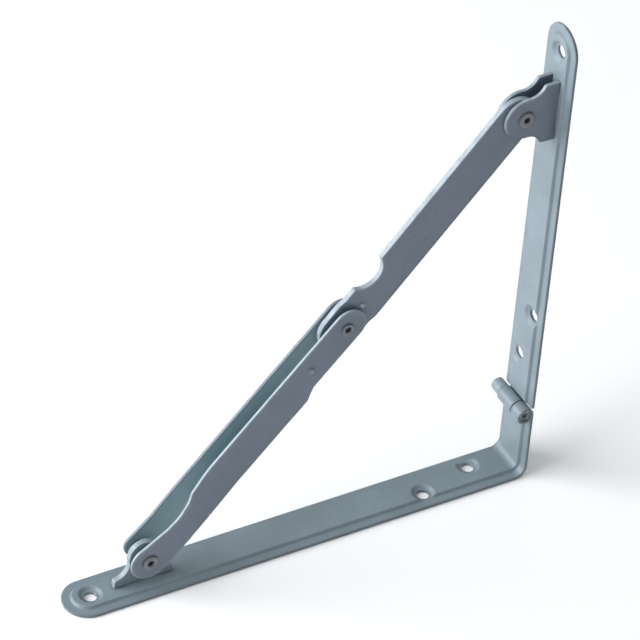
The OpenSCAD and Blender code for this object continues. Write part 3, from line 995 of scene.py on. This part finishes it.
# %% [markdown]
# The rivets, the hinge pin, the stud and the nib are turned or upset parts, round
# about their own axis, so each is a profile spun about the Y direction. The
# points that fall together on the axis, and where the last step of the profile
# meets the first, are welded, which keeps the mesh closed.

# %% Spinning a profile
spokes = 48
weld_gap = 1e-7


def weld(mesh):
    """Joins the points that fall together."""
    work = bmesh.new()
    work.from_mesh(mesh)
    bmesh.ops.remove_doubles(work, verts=work.verts, dist=weld_gap)
    bmesh.ops.dissolve_degenerate(work, edges=work.edges, dist=weld_gap)
    bmesh.ops.recalc_face_normals(work, faces=work.faces)
    work.to_mesh(mesh)
    work.free()


def spun(name, at, profile, wear):
    """A closed profile of (y, radius) points, spun about the Y axis through at."""
    points, faces = [], []
    for angle in np.linspace(0, 2 * math.pi, spokes, endpoint=False):
        for y, radius in np.array(profile, float):
            points.append((at[0] + radius * math.cos(angle), y, at[1] + radius * math.sin(angle)))
    size = len(profile)
    for k in range(spokes):
        for i in range(size - 1):
            a, b = k * size + i, (k + 1) % spokes * size + i
            faces.append((a, a + 1, b + 1, b))
    mesh = bpy.data.meshes.new(name)
    mesh.from_pydata((np.array(points) * MM).tolist(), [], faces)
    weld(mesh)
    mesh.shade_smooth()
    keep_values(mesh, "edge", [
        wear(v.co.y / MM, math.hypot(v.co.x / MM - at[0], v.co.z / MM - at[1]))
        for v in mesh.vertices])
    return finished(name, mesh)


def curve(centre, rx, ry, start, end, count):
    """Points of an elliptic arc in the (y, radius) plane, in degrees."""
    angles = np.radians(np.linspace(start, end, count))
    return [(centre[0] + rx * math.cos(a), centre[1] + ry * math.sin(a)) for a in angles]


# %% [markdown]
# A tubular rivet's head is a rolled rim round a dark hollow. Its crown has lost
# some paint, which the finish reads from the same value as the sheared edges. The
# two outer rivets go right through the brace and are headed at both ends.

# %% Tubular rivets
head_h = 0.9
head_r = 3.4
shank_r = 2.0
fit_gap = 0.05
tube_depth = 2.4
tube_r = 1.2
tube_lip_r = 1.4
shank_in = 0.3
floor_round = 0.2
under_round = 0.12
under_rise = 0.1
crown_run = 0.4


def rolled_end(side_y, head_r, hollow_depth, hollow_r):
    """Half a tubular rivet's profile, from the hollow's floor out to the shank."""
    seat = side_y + fit_gap
    rim = (head_r - hollow_r) / 2
    floor = seat - hollow_depth
    points = [(floor, 0), (floor, hollow_r - floor_round), (floor + floor_round, hollow_r)]
    points += curve((seat + head_h / 2, hollow_r + rim), head_h / 2, rim, -90, 90, count=14)
    points += [(seat + under_rise, head_r), (seat, head_r - under_round),
               (seat, shank_r + under_rise), (side_y - shank_in, shank_r)]
    return points


def crown_wear(side_y, least_r=0.0):
    """Bare on the crown of a head that stands on a face at side_y, and none inside least_r."""
    top = side_y + fit_gap + head_h
    return lambda y, r: max(0.0, 1 - (top - abs(y)) / crown_run) * (r > least_r)


def tube_rivet(name, at, side_y):
    """A rivet through both faces, which lie at side_y from the middle."""
    half = rolled_end(side_y, head_r, tube_depth, tube_r)
    whole = half + [(-y, radius) for y, radius in half[::-1]]
    return spun(name, at, whole, crown_wear(side_y, tube_lip_r))


shelf_rivet = tube_rivet("shelf_pivot_rivet_rolled", pivot_a, wide_y)
wall_rivet = tube_rivet("wall_pivot_rivet_rolled", pivot_b, ear_y + ear_t / 2)
fit(shelf_rivet, "channel", rivet_enamel, "rivet_paint", "shelf_pivot_rivet")
fit(wall_rivet, "wall", rivet_enamel, "rivet_paint", "wall_pivot_rivet")

# %% [markdown]
# The middle rivet is smaller. Here it is two headed stubs, one in each wall, as in
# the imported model: the middle pivot is the one that the model's joints leave open,
# and the bar's end has to swing clear of it when the bracket is between its limits.

# %% Middle rivet
stub_head_r = 2.5
stub_depth = 0.8
stub_hollow_r = 1.3
stub_out = 0.1
stub_round = 0.15
stub_y = narrow_y - channel_t - stub_out
stub_profile = rolled_end(narrow_y, stub_head_r, stub_depth, stub_hollow_r)
stub_profile += [(stub_y + stub_round, shank_r), (stub_y, shank_r - stub_round), (stub_y, 0)]
stubs = [spun(f"middle_stub_{side + 1}", pivot_m, [(side * y, r) for y, r in stub_profile],
              crown_wear(narrow_y)) for side in (-1, 1)]
middle_rivet = joined("middle_rivet_rolled", stubs)
fit(middle_rivet, "channel", rivet_enamel, "rivet_paint", "middle_rivet")

# %% [markdown]
# The hinge pin runs in the knuckles and ends past the far edge in a thicker head.
# Its near end sits back in the knuckle and is hollow.

# %% Hinge pin
pin_low, pin_high = box_mm("hinge_pin")
pin_r = 2.4
pin_round = 0.3
pin_wear = 0.3
pin_head_r = 2.9
pin_hollow_r = 1.3
pin_hollow_l = 3.0
hollow_lip = 0.2
hollow_taper = 0.1
head_gap = 0.5
head_from = split_y + knuckle_gap + wall_knuckle_l + head_gap
head_edge = 0.8
head_round = 0.35
pin_floor = pin_low[1] + pin_hollow_l
pin_profile = [(pin_floor, 0), (pin_floor, pin_hollow_r - hollow_taper)]
pin_profile += curve((pin_low[1] + hollow_lip, pin_hollow_r + hollow_lip),
                     hollow_lip, hollow_lip, 270, 180, count=4)
pin_profile += curve((pin_low[1] + pin_round, pin_r - pin_round),
                     pin_round, pin_round, 180, 90, count=5)
pin_profile += [(head_from, pin_r)]
pin_profile += curve((head_from + head_round, pin_head_r - head_round),
                     head_round, head_round, 180, 90, count=6)
pin_profile += curve((pin_high[1] - head_edge, pin_head_r - head_edge),
                     head_edge, head_edge, 90, 0, count=9)
pin_profile += [(pin_high[1], 0)]
pin = spun("hinge_pin_turned", hinge, pin_profile, lambda y, r: pin_wear)
fit(pin, "shelf", leg_enamel, "leg_paint", "hinge_pin")

# %% [markdown]
# The stud is a small dome in the near wall of the channel. The bar's nib is much
# the same, with a flat top, and its foot is sunk a little into the bar.

# %% Stud and nib
stud_low, stud_high = box_mm("stop_stud")
stud_r = (stud_high[0] - stud_low[0]) / 2
stud_shank_r = 1.0
crown_deg = 172
stud_profile = [(stud_low[1], 0)]
stud_profile += curve((-narrow_y, 0), -narrow_y - stud_low[1], stud_r, crown_deg, 90, count=10)
stud_profile += [(-narrow_y, stud_shank_r), (stud_high[1], stud_shank_r), (stud_high[1], 0)]
stud = spun("stop_stud_domed", axis_at("stop_stud"), stud_profile, lambda y, r: max(0.0, 1 - r))
fit(stud, "channel", brace_enamel, "rivet_paint", "stop_stud")

nib_at = 10.4
nib_r = 1.0
nib_h = 0.9
nib_round = 0.3
nib_sunk = 0.4
# The nib takes the pale edge tone nearly all over.
nib_pale = 0.9
nib_face = -bar_t / 2 - bar_step
nib_top = nib_face - nib_h
nib_profile = [(nib_top, 0)]
nib_profile += curve((nib_top + nib_round, nib_r - nib_round), nib_round, nib_round,
                     180, 90, count=6)
nib_profile += [(nib_face + nib_sunk, nib_r), (nib_face + nib_sunk, 0)]
nib = spun("bar_nib", pivot_m + along * nib_at, nib_profile, lambda y, r: nib_pale)
bar = joined("flat_bar", [bar, nib])
fit(bar, "bar", brace_enamel, "brace_paint", "upper_link")


# %% [markdown]
# The photograph is taken from high on the left with a long lens, so the camera
# stands well back, looks down steeply and leans a few degrees. Its place is set by
# two angles and a distance from the middle of the bracket, which are easier to
# adjust one at a time than a matrix is.

# %% Camera
view_azimuth = math.radians(-31.84)
view_elevation = math.radians(40.69)
view_roll = math.radians(4.96)
view_distance = 1.8303
view_target = Vector((0.0039, 0, 0.1085))
lens_mm = 273.5

camera = bpy.data.objects.new("camera", bpy.data.cameras.new("camera"))
bpy.context.scene.collection.objects.link(camera)
back = Vector((math.sin(view_azimuth) * math.cos(view_elevation),
               -math.cos(view_azimuth) * math.cos(view_elevation), math.sin(view_elevation)))
facing = (-back).to_track_quat("-Z", "Y").to_matrix() @ Matrix.Rotation(view_roll, 3, "Z")
camera.matrix_world = Matrix.Translation(view_target + back * view_distance) @ facing.to_4x4()
camera.data.lens = lens_mm
camera.data.sensor_width = 36
camera.data.clip_start = 0.05
camera.data.clip_end = 20
bpy.context.scene.camera = camera
print("camera at", [round(c, 3) for c in camera.matrix_world.translation])


# %% [markdown]
# The key light is a large soft box on the left and a little behind, which lights
# the wall leg and leaves the brace's near faces in shade. A small box further
# back puts the thin glints on pressed edges and heads, and a weak one overhead
# lifts the shelf leg. A plain bright world fills the rest, as a white studio does.

# %% Lights
lit_point = Vector((0, 0, 0.1))


def soft_box(name, place, size, watts, colour):
    """A rectangular lamp that faces the bracket."""
    light = bpy.data.lights.new(name, "AREA")
    light.shape = "RECTANGLE"
    light.size, light.size_y = size
    light.energy = watts
    light.color = colour
    lamp = bpy.data.objects.new(name, light)
    bpy.context.scene.collection.objects.link(lamp)
    lamp.location = place
    lamp.rotation_euler = (lit_point - Vector(place)).to_track_quat("-Z", "Y").to_euler()
    print(name, "box", watts, "W,", round((lit_point - Vector(place)).length, 2), "m away")


soft_box("key", (-1.92, 0.42, 0.98), size=(2.2, 1.7), watts=76, colour=(0.95, 0.98, 1.0))
soft_box("glint", (-1.5, 1.42, 0.73), size=(0.25, 0.5), watts=7, colour=(1.0, 1.0, 1.0))
soft_box("top", (0.2, 0.1, 2.4), size=(1.8, 1.8), watts=12, colour=(1.0, 1.0, 0.98))

world = bpy.data.worlds.new("studio")
world.use_nodes = True
sky = world.node_tree.nodes["Background"]
sky.inputs["Color"].default_value = (0.93, 0.95, 1.0, 1)
sky.inputs["Strength"].default_value = 0.42
bpy.context.scene.world = world
bpy.context.scene.view_settings.view_transform = "Standard"


# %% [markdown]
# The floor is one large pale square. It lies a hair below the bracket, because two
# faces in one plane would show through each other in patches.

# %% Floor
floor_half = 6.0
floor_z = -0.0002
floor_material = bpy.data.materials.new("pale_floor")
floor_material.use_nodes = True
floor_shader = floor_material.node_tree.nodes["Principled BSDF"]
floor_shader.inputs["Base Color"].default_value = (0.95, 0.95, 0.95, 1)
floor_shader.inputs["Roughness"].default_value = 0.9
floor_mesh = bpy.data.meshes.new("floor")
floor_corners = [(x * floor_half, y * floor_half, 0)
                 for x, y in ((-1, -1), (1, -1), (1, 1), (-1, 1))]
floor_mesh.from_pydata(floor_corners, [], [(0, 1, 2, 3)])
floor_mesh.materials.append(floor_material)
floor = bpy.data.objects.new("floor", floor_mesh)
floor.location.z = floor_z
bpy.context.scene.collection.objects.link(floor)
floor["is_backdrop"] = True


# %% [markdown]
# The drawn bracket has to stay inside the imported one's box. Both boxes are
# printed, so that they can be compared.

# %% Sizes and the last line
boxes = [[list(corner) for corner in corners] for corners in (cad_box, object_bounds())]
for label, corners in zip(("packed", "drawn"), boxes):
    print(label, [[round(c / MM, 2) for c in corner] for corner in corners])
